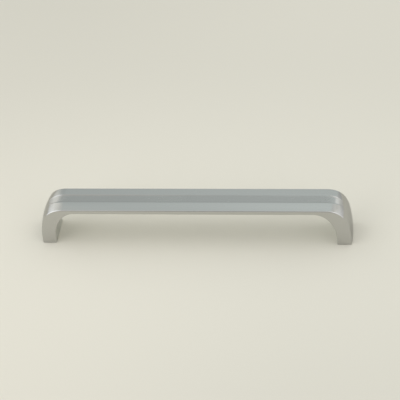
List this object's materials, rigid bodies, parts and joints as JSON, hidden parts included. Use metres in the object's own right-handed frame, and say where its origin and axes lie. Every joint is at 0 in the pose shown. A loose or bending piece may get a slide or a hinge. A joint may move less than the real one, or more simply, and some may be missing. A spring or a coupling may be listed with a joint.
{
  "type": "cabinet handle",
  "caption": "Flat bow handle for a cabinet door or drawer, with a crowned face, a shallow hollow along it and tapped feet.",
  "frame": {"origin": "on the door plane, midway between the two fixing holes", "axes": "+X along the bar, +Y across its width, +Z out from the door"},
  "size_m": [0.202, 0.022, 0.0289],
  "materials": {
    "chrome_plate": "chrome plate over die-cast zinc, softly polished"
  },
  "bodies": {
    "root": {"bow_handle": "chrome_plate"}
  },
  "joints": []
}
